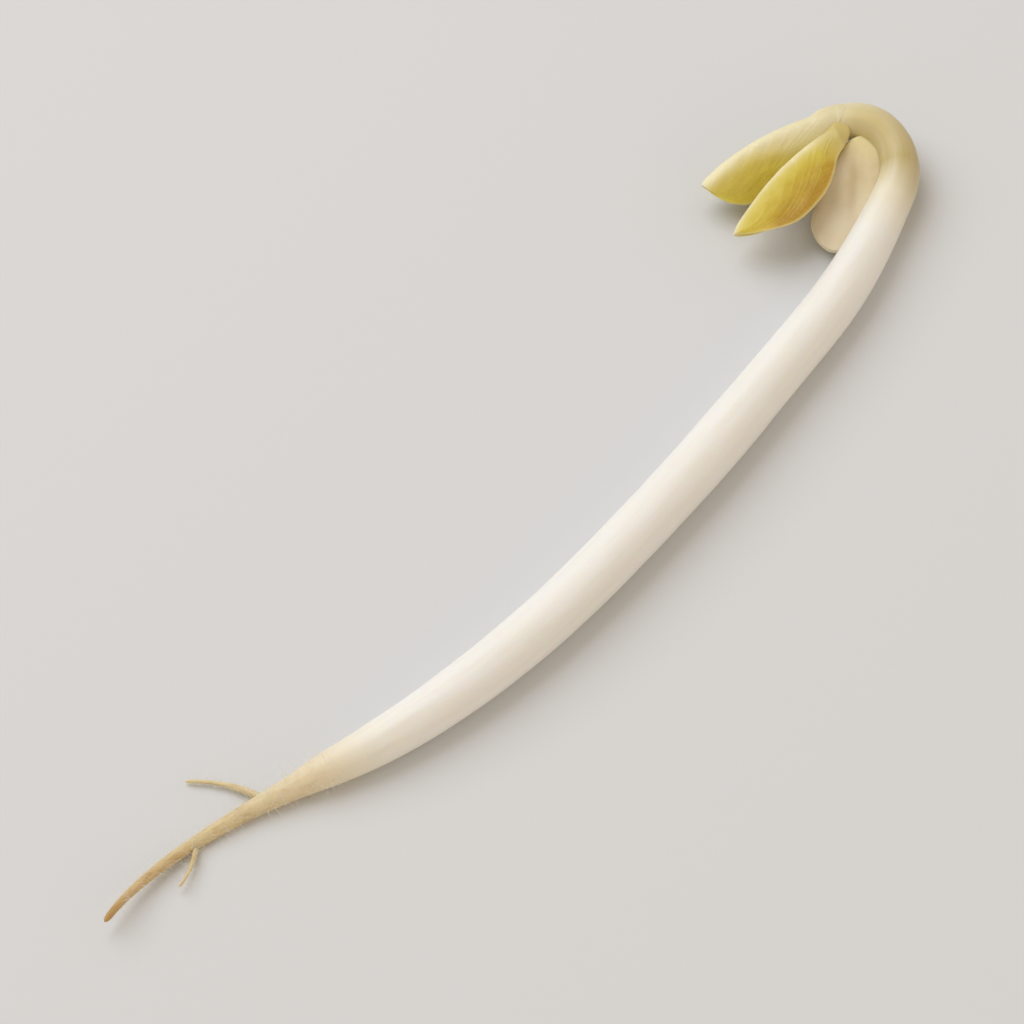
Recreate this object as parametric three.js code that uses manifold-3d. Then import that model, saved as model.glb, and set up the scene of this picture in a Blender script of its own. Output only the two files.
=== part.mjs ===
import * as THREE from 'three';
import { mergeVertices } from 'three/addons/utils/BufferGeometryUtils.js';
import Module from 'manifold-3d';

// One mung bean sprout lying on a table, its root at -X and its leaves at +X.
// Millimetres and degrees, +Z up. The table is z = 0.
//
// The sprout's axis is one curve. It is measured from the collar, where the root
// ends and the white stem begins: the root lies below 0 and the stem above it.

// ---- Driving dimensions ----

const COLLAR = { x: -20.6444, y: -0.6164 };

// The axis, seen from above. Headings are measured from +X, towards +Y.
const ROOT_LENGTH = 20;
const HOOK_START = 55.4;
const HOOK_END = 67;
const AXIS_END = 66.2;
const STEM_HEADING = 3;
const LOWER_BEND = 27; // how far the stem's lower end turns away from its heading
const LOWER_BEND_FADE = 16; // and the length in which that dies away
const UPPER_LEAN = 10.5; // how far the stem leans over before the hook
const UPPER_LEAN_START = 42;
const HOOK_TURN = 139;
const ROOT_BEND_FADE = 6; // the length in which that bend dies away in the root
const ROOT_CURL = 34; // how far the root's tail curls back the other way

// Radius of the axis, and clearance of its underside above the table, at a distance.
// What would lie below the table is pressed flat, and the sprout rests on that strip.
const PRESSED = -0.09;
const RADII = [
  [-20, 0.2], [-15, 0.32], [-9, 0.5], [-5, 0.74], [-2, 1.1], [2, 1.4], [9, 1.62], [22, 1.76],
  [38, 1.73], [49, 1.6], [56, 1.38], [60, 1.25], [63, 1.25], [65, 1.12], [66.5, 0.86],
];
const CLEARANCES = [
  [-20, 1.3], [-15.5, 0.42], [-11, PRESSED], [-4, PRESSED], [24, PRESSED], [46, PRESSED],
  [52, 0.06], [58, 0.44], [62, 1.15], [65, 0.9], [66.5, 0.85],
];
const OVALITY = 0.014; // the stem isn't quite round, and its long way wanders round it
const OVAL_TURN_PER_MM = 4;
const JOINT_GAP = 0.04; // between two pieces that grow from each other

// Side rootlets: where on the root they start and how they run.
const ROOTLET_TAPER = 0.6; // the share of its radius that one loses towards its tip
const ROOTLET_TIP = 0.08; // and the share of its length in which the tip is rounded
const ROOTLETS = [
  { from: -6.4, heading: 112, curl: 40, pitch: -3, length: 5.4, radius: 0.25 },
  { from: -11.6, heading: -128, curl: -34, pitch: 5, length: 3.6, radius: 0.19 },
];

// The leaves. Each is a blade folded along its midrib: `roll` leans the fold over,
// `open` is the angle of each half from the fold's middle, `aside` is how far aside
// and `lift` how far above it, the base starts from the middle of the neck at `from`.
// A small `taper` makes a blunt tip. The base is `baseWidth` wide and `slimming` narrows
// the blade towards it. Both are given for the lower half and then for the upper one.
const LEAF_THICKNESS = 0.62;
const BASE_THICKNESS = 1;
const BASE_SHARE = 0.14; // the share of the length in which the base thins into the blade
const ROUNDING_SHARE = 0.2; // in which its corners are rounded
const SPREADING_SHARE = 0.3; // in which it spreads to the blade's own width
const SLIMMING_SHARES = [0.2, 0.6]; // between which its slimming ends
const THINNING_SHARE = 0.8; // and where the blade starts to thin towards its tip
const HALVES = [0.78, 1.08]; // the upper half is wider than the lower one, which it covers
const KEEL = 0.42; // how far from the midrib the fold is rounded
const MARGIN_FLARE = 14; // how far the margins turn outwards again
const LEAVES = [
  {
    name: 'leaf_front', from: 64.2, aside: 0.78, lift: 0.5, length: 11.4, halfWidth: 3.25,
    baseWidth: [1.2, 2.2], slimming: [0.8, 1.1], heading: [167, 185], pitch: [12, -16],
    roll: [-66, -72], open: [8, 12], widest: 0.6, taper: 0.72,
  },
  {
    name: 'leaf_back', from: 63.5, aside: -0.7, lift: 0, length: 11.8, halfWidth: 3.15,
    baseWidth: [0.9, 0.9], slimming: [1, 1], heading: [148, 165], pitch: [20, -22],
    roll: [-38, -44], open: [10, 10], widest: 0.73, taper: 0.4,
  },
];

// The seed leaf, a fleshy tongue that hangs inside the hook. It grows from `baseSize` to its
// full size over a share of its length, and its two ends are rounded over such shares too.
const SEED_LEAF = {
  from: 62, aside: 1.05, length: 8.8, halfWidth: 2, halfThickness: 0.6,
  heading: [206, 190], pitch: [-18, -2], roll: [12, 2],
  baseSize: 0.6, baseShare: 0.5, baseRounding: 0.15, tipRounding: 0.28,
};

// ---- Small helpers ----

const { clamp, degToRad, lerp, smoothstep } = THREE.MathUtils;

/** A smooth curve through [distance, value] pairs, whose slope at a pair comes from its neighbours. */
function through(pairs, s) {
  const last = pairs.length - 1;
  let i = 0;
  while (i < last - 1 && s > pairs[i + 1][0]) i += 1;
  const slope = (k) => {
    const [before, after] = [pairs[Math.max(k - 1, 0)], pairs[Math.min(k + 1, last)]];
    return (after[1] - before[1]) / (after[0] - before[0]);
  };
  const [[s0, v0], [s1, v1]] = [pairs[i], pairs[i + 1]];
  const span = s1 - s0;
  const u = clamp((s - s0) / span, 0, 1);
  return v0 * (1 + 2 * u) * (1 - u) ** 2 + v1 * u * u * (3 - 2 * u)
    + span * u * (1 - u) * (slope(i) * (1 - u) - slope(i + 1) * u);
}

/** How much of a rounded end's full radius is left at a distance x past where it starts. */
const rounded = (x) => Math.sqrt(Math.max(1 - clamp(x, 0, 1) ** 2, 0));

/** A unit direction from a heading and a pitch above the table. */
function direction(heading, pitch) {
  const [h, p] = [degToRad(heading), degToRad(pitch)];
  return new THREE.Vector3(Math.cos(h) * Math.cos(p), Math.sin(h) * Math.cos(p), Math.sin(p));
}

/** Points in short steps from a start, each step in the direction that `way` gives for its distance. */
function walk(start, from, to, way, steps = 1200) {
  const points = [start.clone()];
  const step = (to - from) / steps;
  for (let i = 0; i < steps; i += 1) {
    points.push(points[i].clone().addScaledVector(way(from + (i + 0.5) * step), step));
  }
  return points;
}

/** A spine over such points: its place, forward, left and up at a distance, turned about it by `roll`. */
function spineOf(points, from, to, roll = () => 0) {
  const place = (s) => {
    const x = clamp((s - from) / (to - from), 0, 1) * (points.length - 1);
    const i = Math.min(Math.floor(x), points.length - 2);
    return points[i].clone().lerp(points[i + 1], x - i);
  };
  const reach = 0.1;
  return (s) => {
    const forward = place(s + reach).sub(place(s - reach)).normalize();
    const left = new THREE.Vector3(0, 0, 1).cross(forward).normalize();
    const up = forward.clone().cross(left);
    const turn = degToRad(roll(s));
    return {
      at: place(s),
      forward,
      left: left.clone().multiplyScalar(Math.cos(turn)).addScaledVector(up, -Math.sin(turn)),
      up: up.clone().multiplyScalar(Math.cos(turn)).addScaledVector(left, Math.sin(turn)),
    };
  };
}

/** The point that lies `left` and `up` of a spine's place. */
const beside = (spot, left, up) => (
  spot.at.clone().addScaledVector(spot.left, left).addScaledVector(spot.up, up)
);

/** A closed skin: a sphere whose rows are sent along a spine and whose columns go round it. */
function skin(columns, rows, place) {
  const ball = new THREE.SphereGeometry(1, columns, rows);
  ball.deleteAttribute('normal');
  ball.deleteAttribute('uv');
  const geometry = mergeVertices(ball);
  const position = geometry.getAttribute('position');
  for (let i = 0; i < position.count; i += 1) {
    const row = Math.round((Math.acos(clamp(position.getY(i), -1, 1)) / Math.PI) * rows);
    const point = place(row, Math.atan2(position.getZ(i), position.getX(i)));
    position.setXYZ(i, point.x, point.y, point.z);
  }
  return geometry;
}

const TIP_CROWDING = 1.4;

/** The share of a leaf's length that a row stands at. The rows are closest at the tip. */
const shareOfLength = (row, rows) => 1 - (1 - row / rows) ** TIP_CROWDING;

const wasm = await Module();
wasm.setup();

/** A closed geometry as a solid that can be joined or cut. */
function solid(geometry) {
  return new wasm.Manifold(new wasm.Mesh({
    numProp: 3,
    vertProperties: new Float32Array(geometry.getAttribute('position').array),
    triVerts: new Uint32Array(geometry.index.array),
  }));
}

/** Such a solid as a geometry again. */
function geometryOf(body) {
  const { vertProperties, triVerts } = body.getMesh();
  const geometry = new THREE.BufferGeometry();
  geometry.setAttribute('position', new THREE.BufferAttribute(vertProperties, 3));
  geometry.setIndex(new THREE.BufferAttribute(triVerts, 1));
  return geometry;
}

const sprout = new THREE.Group();

/** Adds one named piece with its own material. */
function addPiece(name, body, color, roughness) {
  const material = new THREE.MeshStandardMaterial({ color, roughness, metalness: 0, flatShading: true });
  const piece = new THREE.Mesh(geometryOf(body), material);
  piece.name = name;
  sprout.add(piece);
}

// ---- The axis that the root and the stem share ----

function axisHeading(s) {
  if (s < 0) {
    const fading = (LOWER_BEND / LOWER_BEND_FADE) * s * Math.exp(s / ROOT_BEND_FADE);
    return STEM_HEADING - LOWER_BEND + fading + ROOT_CURL * (s / ROOT_LENGTH) ** 2;
  }
  return STEM_HEADING - LOWER_BEND * Math.exp(-s / LOWER_BEND_FADE)
    + UPPER_LEAN * smoothstep(s, UPPER_LEAN_START, HOOK_START)
    + HOOK_TURN * smoothstep(s, HOOK_START, HOOK_END);
}

const axisCourse = walk(new THREE.Vector3(), -ROOT_LENGTH, AXIS_END, (s) => direction(axisHeading(s), 0));
const courseStep = (AXIS_END + ROOT_LENGTH) / (axisCourse.length - 1);
const collarPoint = axisCourse[Math.round(ROOT_LENGTH / courseStep)].clone();
axisCourse.forEach((point, i) => {
  const s = i * courseStep - ROOT_LENGTH;
  const height = through(RADII, s) + through(CLEARANCES, s);
  point.sub(collarPoint).add(new THREE.Vector3(COLLAR.x, COLLAR.y, height));
});
const axis = spineOf(axisCourse, -ROOT_LENGTH, AXIS_END);

/** A point on the axis' skin. `scale` closes it at an end and `swell` is a clearance round it. */
function axisSkin(s, angle, scale, swell = 0) {
  const oval = 1 + OVALITY * Math.cos(2 * angle + degToRad(OVAL_TURN_PER_MM * s));
  const radius = (through(RADII, s) * oval + swell) * scale;
  const point = beside(axis(s), radius * Math.cos(angle), radius * Math.sin(angle));
  return point.setZ(Math.max(point.z, 0));
}

// ---- The stem: the white hypocotyl, its hook and the neck that carries the leaves ----

// Rows of the skin against the distance they stand at, closest in the hook.
const STEM_ROWS = [[1, JOINT_GAP / 2], [60, 55.5], [86, 65], [94, AXIS_END]];
const TIP_ROUNDING = 1.1;

function stemSkin(swell) {
  const rows = STEM_ROWS.at(-1)[0];
  return solid(skin(24, rows, (row, angle) => {
    const s = row === 0 ? JOINT_GAP / 2 : through(STEM_ROWS, row);
    const scale = row === 0 ? 0 : rounded((s - AXIS_END + TIP_ROUNDING) / TIP_ROUNDING);
    return axisSkin(s, angle, scale, swell);
  }));
}

addPiece('stem', stemSkin(0), 0xf7f3e8, 0.35);

// What the leaves grow from and press against. Each is cut by it, so that a gap is left.
let taken = stemSkin(JOINT_GAP);

// ---- The root: the tapering radicle with its side rootlets ----

const ROOT_ROWS = [[0, -ROOT_LENGTH], [5, -19.2], [40, -2], [45, -JOINT_GAP / 2]];

function rootSkin() {
  const rows = ROOT_ROWS.at(-1)[0] + 1;
  return solid(skin(16, rows, (row, angle) => {
    const s = through(ROOT_ROWS, Math.min(row, rows - 1));
    const tail = 0.6;
    const scale = row === rows ? 0 : rounded((tail - s - ROOT_LENGTH) / tail);
    return axisSkin(s, angle, scale);
  }));
}

/** A thin root that starts inside the main one and tapers to its tip. */
function rootlet({ from, heading, curl, pitch, length, radius }) {
  const [columns, rows] = [8, 18];
  const way = (s) => direction(axisHeading(from) + heading + (curl * s) / length, pitch);
  const course = spineOf(walk(axis(from).at, 0, length, way, 60), 0, length);
  return solid(skin(columns, rows, (row, angle) => {
    const t = row / rows;
    const r = row % rows === 0 ? 0 : radius * (1 - ROOTLET_TAPER * t) * rounded((t - 1) / ROOTLET_TIP + 1);
    return beside(course(t * length), r * Math.cos(angle), r * Math.sin(angle));
  }));
}

const root = ROOTLETS.reduce((body, each) => body.add(rootlet(each)), rootSkin());
addPiece('root', root, 0xe6d3ab, 0.6);

// ---- The leaves ----

/** Half the blade's width at a share t of its length, as a share of the widest, which is at `widest`. */
const leafOutline = (t, widest, taper) => (
  ((t / widest) ** (widest / (1 - widest)) * ((1 - t) / (1 - widest))) ** taper
);

/** The fold's section: how far out and how deep a point lies at a distance from the midrib. */
function foldPoint(distance, open, width) {
  const steps = 10;
  let [out, deep, lean] = [0, 0, 90];
  for (let i = 0; i < steps; i += 1) {
    const q = ((i + 0.5) / steps) * distance;
    lean = open + (90 - open) * Math.exp(-q / KEEL) + MARGIN_FLARE * (q / width) ** 4;
    out += Math.sin(degToRad(lean)) * (distance / steps);
    deep += Math.cos(degToRad(lean)) * (distance / steps);
  }
  return { out, deep, lean };
}

function leaf(shape, swell) {
  const { length, halfWidth, baseWidth, slimming, heading, pitch, roll, open, widest, taper } = shape;
  const [columns, rows] = [28, 30];
  const start = beside(axis(shape.from), shape.aside, shape.lift);
  const share = (pair, s) => lerp(pair[0], pair[1], s / length);
  const way = (s) => direction(share(heading, s), share(pitch, s));
  const midrib = spineOf(walk(start, 0, length, way, 160), 0, length, (s) => share(roll, s));
  return solid(skin(columns, rows, (row, angle) => {
    const t = shareOfLength(row, rows);
    const spot = midrib(t * length);
    // The upper half of the turn is the outer face and the lower half the inner one.
    const across = 1 - (2 * Math.abs(angle)) / Math.PI;
    const half = across < 0 ? 0 : 1;
    const slim = HALVES[half] * lerp(slimming[half], 1, smoothstep(t, ...SLIMMING_SHARES));
    const blade = halfWidth * slim * leafOutline(t, widest, taper);
    const spread = lerp(baseWidth[half], blade, smoothstep(t, 0, SPREADING_SHARE));
    const width = spread * rounded(1 - t / ROUNDING_SHARE) + swell;
    const thinned = rounded((t - THINNING_SHARE) / (1 - THINNING_SHARE));
    const thickness = lerp(BASE_THICKNESS, LEAF_THICKNESS, smoothstep(t, 0, BASE_SHARE)) * thinned;
    const thick = thickness / 2 + swell;
    const end = row % rows === 0 ? 0 : 1;
    const opening = share(open, t * length);
    const { out, deep, lean } = foldPoint(Math.abs(across) * width, opening, Math.max(width, 1));
    const normal = thick * rounded(Math.abs(across)) * Math.sign(angle) * end;
    const side = Math.sign(across) || 1;
    return beside(
      spot,
      side * (out * end + normal * Math.cos(degToRad(lean))),
      -deep * end + normal * Math.sin(degToRad(lean)),
    );
  }));
}

for (const each of LEAVES) {
  addPiece(each.name, leaf(each, 0).subtract(taken), 0xd8bd2c, 0.5);
  taken = taken.add(leaf(each, JOINT_GAP));
}

// ---- The seed leaf ----

function seedLeaf(shape) {
  const { length, halfWidth, halfThickness, heading, pitch, roll } = shape;
  const [columns, rows] = [20, 24];
  const start = beside(axis(shape.from), shape.aside, 0);
  const share = (pair, s) => lerp(pair[0], pair[1], s / length);
  const way = (s) => direction(share(heading, s), share(pitch, s));
  const course = spineOf(walk(start, 0, length, way, 160), 0, length, (s) => share(roll, s));
  return solid(skin(columns, rows, (row, angle) => {
    const t = shareOfLength(row, rows);
    const ends = rounded((t - 1) / shape.tipRounding + 1) * rounded(1 - t / shape.baseRounding);
    const plump = lerp(shape.baseSize, 1, smoothstep(t, 0, shape.baseShare)) * ends;
    const end = row % rows === 0 ? 0 : 1;
    return beside(
      course(t * length),
      halfWidth * plump * Math.cos(angle) * end,
      halfThickness * Math.sqrt(plump) * Math.sin(angle) * end,
    );
  }));
}

addPiece('seed_leaf', seedLeaf(SEED_LEAF).subtract(taken), 0xe9dcb8, 0.5);

export default sprout;
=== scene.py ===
"""A mung bean sprout lying on a table: a white stem with its root, its hook, two leaves and a seed leaf."""
import math

import bpy
import numpy as np
from mathutils import Matrix, Vector


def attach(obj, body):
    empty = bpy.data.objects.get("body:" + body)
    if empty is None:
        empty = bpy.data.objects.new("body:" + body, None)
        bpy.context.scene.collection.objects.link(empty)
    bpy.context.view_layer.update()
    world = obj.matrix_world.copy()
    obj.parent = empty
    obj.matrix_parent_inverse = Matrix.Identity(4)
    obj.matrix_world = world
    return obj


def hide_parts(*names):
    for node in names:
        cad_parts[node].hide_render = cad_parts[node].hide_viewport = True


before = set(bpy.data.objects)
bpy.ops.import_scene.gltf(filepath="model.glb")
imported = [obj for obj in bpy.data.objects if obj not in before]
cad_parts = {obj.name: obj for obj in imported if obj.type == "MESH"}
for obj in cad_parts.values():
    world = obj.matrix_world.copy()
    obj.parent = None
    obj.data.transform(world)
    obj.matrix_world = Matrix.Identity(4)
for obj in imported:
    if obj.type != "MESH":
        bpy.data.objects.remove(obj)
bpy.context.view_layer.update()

# ---- Stem ----
# The hypocotyl: a crisp white shoot, all thin-walled, watery cells under a smooth skin.
# It grows in one from the collar to the neck, and is bent over in a hook below the leaves.

MM = 0.001

# The axis of root and stem, in millimetres and degrees. It is measured from the collar, with
# the root below 0, and its headings are seen from above, counted from +X towards +Y.
COLLAR = (-20.6444, -0.6164)
ROOT_LENGTH = 20
HOOK_START = 55.4
HOOK_END = 67
AXIS_END = 66.2
STEM_HEADING = 3
LOWER_BEND = 27  # how far the stem's lower end turns away from its heading
LOWER_BEND_FADE = 16  # and the length in which that dies away
UPPER_LEAN = 10.5  # how far the stem leans over before the hook
UPPER_LEAN_START = 42
HOOK_TURN = 139
ROOT_BEND_FADE = 6  # the length in which the lower bend dies away in the root
ROOT_CURL = 34  # how far the root's tail curls back the other way
# The radius at a distance along the axis, and how high the skin's underside is above the
# table there. Where the sprout rests on the table, its skin is pressed flat a little.
PRESSED = -0.09
RADII = [
    (-20, 0.2), (-15, 0.32), (-9, 0.5), (-5, 0.74), (-2, 1.1), (2, 1.4), (9, 1.62), (22, 1.76),
    (38, 1.73), (49, 1.6), (56, 1.38), (60, 1.25), (63, 1.25), (65, 1.12), (66.5, 0.86),
]
CLEARANCES = [
    (-20, 1.3), (-15.5, 0.42), (-11, PRESSED), (-4, PRESSED), (24, PRESSED), (46, PRESSED),
    (52, 0.06), (58, 0.44), (62, 1.15), (65, 0.9), (66.5, 0.85),
]
OVALITY = 0.014  # the stem isn't quite round, and its long way wanders round it
OVAL_TURN_PER_MM = 4


def through(pairs, s):
    """A smooth curve through (distance, value) pairs, whose slope at a pair comes from its neighbours."""
    at, value = np.array(pairs, dtype=float).T
    k = np.arange(len(at))
    before, after = np.maximum(k - 1, 0), np.minimum(k + 1, len(at) - 1)
    slope = (value[after] - value[before]) / (at[after] - at[before])
    i = np.clip(np.searchsorted(at, s) - 1, 0, len(at) - 2)
    span = at[i + 1] - at[i]
    u = np.clip((s - at[i]) / span, 0, 1)
    return (value[i] * (1 + 2 * u) * (1 - u) ** 2 + value[i + 1] * u * u * (3 - 2 * u)
            + span * u * (1 - u) * (slope[i] * (1 - u) - slope[i + 1] * u))


def smoothstep(x, low, high):
    """0 below `low`, 1 above `high`, and a soft rise between them."""
    u = np.clip((x - low) / (high - low), 0, 1)
    return u * u * (3 - 2 * u)


def rounded(x):
    """How much of a rounded end's full radius is left at a distance x past where it starts."""
    return np.sqrt(1 - np.clip(x, 0, 1) ** 2)


def walk(start, low, high, heading, pitch, steps):
    """Points in short steps from a start, each step along the heading and pitch of its distance."""
    step = (high - low) / steps
    s = low + (np.arange(steps) + 0.5) * step
    h, p = np.radians(heading(s)), np.radians(pitch(s))
    way = np.stack([np.cos(h) * np.cos(p), np.sin(h) * np.cos(p), np.sin(p)], axis=-1)
    return np.vstack([start, start + np.cumsum(way * step, axis=0)])


def spine_of(points, low, high, roll=lambda s: 0 * s):
    """A spine over such points: gives the point that lies `left` and `up` of its place at a distance."""
    def place(s):
        x = np.clip((s - low) / (high - low), 0, 1) * (len(points) - 1)
        i = np.minimum(x.astype(int), len(points) - 2)
        return points[i] + (points[i + 1] - points[i]) * (x - i)[..., None]

    reach = 0.1

    def beside(s, left, up):
        ahead = place(s + reach) - place(s - reach)
        ahead /= np.linalg.norm(ahead, axis=-1, keepdims=True)
        level = np.cross([0.0, 0.0, 1.0], ahead)
        level /= np.linalg.norm(level, axis=-1, keepdims=True)
        above = np.cross(ahead, level)
        turn = np.radians(roll(s))[..., None]
        left_way = level * np.cos(turn) - above * np.sin(turn)
        up_way = above * np.cos(turn) + level * np.sin(turn)
        return place(s) + left_way * np.asarray(left)[..., None] + up_way * np.asarray(up)[..., None]
    return beside


def axis_heading(s):
    """Which way the axis runs at a distance, in degrees."""
    below = STEM_HEADING - LOWER_BEND + ROOT_CURL * (s / ROOT_LENGTH) ** 2
    below += (LOWER_BEND / LOWER_BEND_FADE) * s * np.exp(np.minimum(s, 0) / ROOT_BEND_FADE)
    above = STEM_HEADING - LOWER_BEND * np.exp(-np.maximum(s, 0) / LOWER_BEND_FADE)
    above += UPPER_LEAN * smoothstep(s, UPPER_LEAN_START, HOOK_START)
    above += HOOK_TURN * smoothstep(s, HOOK_START, HOOK_END)
    return np.where(s < 0, below, above)


AXIS_STEPS = 1200
course = walk(np.zeros(3), -ROOT_LENGTH, AXIS_END, axis_heading, lambda s: 0 * s, AXIS_STEPS)
course_at = np.linspace(-ROOT_LENGTH, AXIS_END, AXIS_STEPS + 1)
course -= course[np.argmin(abs(course_at))]
course += np.stack([0 * course_at + COLLAR[0], 0 * course_at + COLLAR[1],
                    through(RADII, course_at) + through(CLEARANCES, course_at)], axis=-1)
axis = spine_of(course, -ROOT_LENGTH, AXIS_END)


def unevenness(points, grain, seed):
    """Smooth random heights, mostly within 1 of 0. `grain` is the size of a hump along each axis."""
    waves = 28
    chance = np.random.default_rng(seed)
    way = chance.normal(size=(waves, 3))
    way /= np.linalg.norm(way, axis=-1, keepdims=True) * 2 * np.array(grain)
    phase = chance.uniform(0, 2 * math.pi, waves)
    return np.sin(2 * math.pi * (points @ way.T) + phase).sum(axis=-1) / waves ** 0.5


SCAR_AT = 61.8  # where the other seed leaf sat, on the outside of the hook
SCAR_SIZE = (0.85, 0.45)  # half its length and half its width
SCAR_RIM = 0.05  # the rim stands this proud
SCAR_DEPTH = 0.06  # and the middle lies this deep


def scar_distance(s, angle):
    """Distance from the scar's middle, 1 at its rim."""
    aside = (np.mod(angle, 2 * math.pi) - math.pi) * through(RADII, s)
    return np.hypot((s - SCAR_AT) / SCAR_SIZE[0], aside / SCAR_SIZE[1])


FULL_RADIUS = 1.7  # ribs and swells have the heights below at this radius
RIB_HEIGHTS = (0.01, 0.005)
SWELL_HEIGHTS = (0.022, 0.006)


def axis_skin(s, angle, scale):
    """Points on the skin of root and stem, and the same points with the axis pulled straight."""
    oval = 1 + OVALITY * np.cos(2 * angle + np.radians(OVAL_TURN_PER_MM * s))
    radius = through(RADII, s) * oval
    straight = np.stack([radius * np.cos(angle), radius * np.sin(angle), s + 0 * angle], axis=-1)
    # Five broad ribs wander round the stem, with eleven fine ones over them.
    ribs = np.cos(5 * angle + 1.3 * np.sin(s / 9)) * RIB_HEIGHTS[0]
    ribs += np.cos(11 * angle - s / 14) * RIB_HEIGHTS[1]
    swells = unevenness(straight, (2.6, 2.6, 6.0), 3) * SWELL_HEIGHTS[0]
    swells += unevenness(straight, (0.7, 0.7, 2.4), 4) * SWELL_HEIGHTS[1]
    scar = scar_distance(s, angle)
    rim = SCAR_RIM * np.exp(-((scar - 1.1) / 0.26) ** 2) - SCAR_DEPTH * smoothstep(-scar, -0.95, -0.5)
    radius = (radius + (ribs + swells) * through(RADII, s) / FULL_RADIUS + rim) * scale
    points = axis(s + 0 * angle, radius * np.cos(angle), radius * np.sin(angle))
    points[..., 2] = np.maximum(points[..., 2], 0)
    return points, straight


def grid(distances, columns):
    """Each distance as a row, and the angles round it as columns."""
    return np.meshgrid(distances, np.arange(columns) * 2 * math.pi / columns - math.pi, indexing="ij")


SHARP_EDGE = 65  # an edge that is bent by more degrees than this isn't shaded smooth


def make_piece(name, skins, node, material):
    """A piece from closed skins. Each skin is its rings of points, in millimetres, and its point values.

    A skin is closed by one more point in the middle of its first ring and one in that of its last.
    """
    points, faces, values = [], [], {}
    for rings, own in skins:
        rows, columns = rings.shape[:2]
        first = sum(len(part) for part in points)
        ends = first + rows * columns
        j = np.arange(columns)
        k = (j + 1) % columns
        i = first + np.arange(rows - 1)[:, None] * columns
        faces += np.stack([i + j, i + k, i + columns + k, i + columns + j], axis=-1).reshape(-1, 4).tolist()
        last = ends - columns
        faces += np.stack([ends + 0 * j, first + k, first + j], axis=-1).tolist()
        faces += np.stack([ends + 1 + 0 * j, last + j, last + k], axis=-1).tolist()
        for key, value in {"": rings, **own}.items():
            value = value.reshape(rows, columns, -1)
            middles = value[[0, -1]].mean(axis=1)
            closed = np.vstack([value.reshape(rows * columns, -1), middles])
            if key:
                values.setdefault(key, []).append(closed)
            else:
                points.append(closed * MM)
    mesh = bpy.data.meshes.new(name)
    mesh.from_pydata(np.vstack(points).tolist(), [], faces)
    for key, parts in values.items():
        value = np.vstack(parts)
        kind, field = ("FLOAT", "value") if value.shape[1] == 1 else ("FLOAT_VECTOR", "vector")
        mesh.attributes.new(key, kind, "POINT").data.foreach_set(field, value.astype(np.float32).ravel())
    mesh.shade_smooth()
    mesh.set_sharp_from_angle(angle=math.radians(SHARP_EDGE))
    piece = bpy.data.objects.new(name, mesh)
    bpy.context.collection.objects.link(piece)
    mesh.materials.append(material)
    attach(piece, "root")
    if node:
        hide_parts(node)
    return piece


def linear(hex_colour):
    """An sRGB colour such as "f3efe4" as linear RGBA."""
    srgb = [int(hex_colour[i:i + 2], 16) / 255 for i in (0, 2, 4)]
    return [c / 12.92 if c <= 0.04045 else ((c + 0.055) / 1.055) ** 2.4 for c in srgb] + [1.0]


def add_node(material, kind, inputs=(), stops=(), **settings):
    """Adds a node with its settings, what goes into its inputs, and a ramp's stops of place and colour.

    Inputs go by name or by number. Inputs 1 to 4 of a MapRange are the range that it reads and the
    one that it gives, which is 0 to 1 where it isn't set. Input 3 of a Mapping is its scale, 2 to 4
    of a TexNoise are scale, detail and roughness, and a Mix goes from colour 6 to colour 7.
    """
    tree = material.node_tree
    node = tree.nodes.new("ShaderNode" + kind)
    for key, value in settings.items():
        setattr(node, key, value)
    for place, _ in stops[2:]:
        node.color_ramp.elements.new(place)
    for element, (place, hex_colour) in zip(node.color_ramp.elements if stops else (), stops):
        element.position = place
        element.color = linear(hex_colour)
    for key, value in dict(inputs).items():
        if isinstance(value, bpy.types.NodeSocket):
            tree.links.new(value, node.inputs[key])
        else:
            node.inputs[key].default_value = value
    return node


def new_material(name):
    """An empty material, for the nodes of one kind of tissue."""
    material = bpy.data.materials.new(name)
    material.use_nodes = True
    material.node_tree.nodes.clear()
    return material


# Watery white flesh under a thin, smooth skin: light goes a millimetre into it, so its
# shade side glows warm, and the skin gives a broad satin highlight along the top.
stem_flesh = new_material("stem_flesh")
straight = add_node(stem_flesh, "Attribute", attribute_name="straight").outputs["Vector"]
parts = add_node(stem_flesh, "SeparateXYZ", {0: straight}).outputs
along = add_node(stem_flesh, "MapRange", {0: parts[2], 1: 0.0, 2: 65.0}).outputs[0]
# White along the stem, olive-tan at the hook. The dark stop at 0.9, in the middle of the hook, is partly
# painted shade.
tissue = add_node(stem_flesh, "ValToRGB", {0: along}, stops=[
    (0.0, "f6f0df"), (0.02, "f9f6ec"), (0.06, "fbfaf5"), (0.8, "fbf9f3"), (0.855, "f2ebd4"),
    (0.9, "c6b67c"), (0.94, "e2d6ae"), (0.97, "e6dcb4"),
])
# Streaks of wetter cells, about 0.5 mm wide and 6 mm long, are a little greyer.
wet_place = add_node(stem_flesh, "Mapping", {0: straight, 3: (2.0, 2.0, 0.17)}).outputs[0]
wet = add_node(stem_flesh, "TexNoise", {0: wet_place, 2: 1.0, 3: 3.0, 4: 0.55}).outputs[0]
wet_share = add_node(stem_flesh, "MapRange", {0: wet, 1: 0.42, 2: 0.75, 3: 0.0, 4: 0.35}).outputs[0]
streaked = add_node(stem_flesh, "Mix", {0: wet_share, 6: tissue.outputs[0], 7: linear("ece6d8")},
                    data_type="RGBA").outputs[2]
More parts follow.
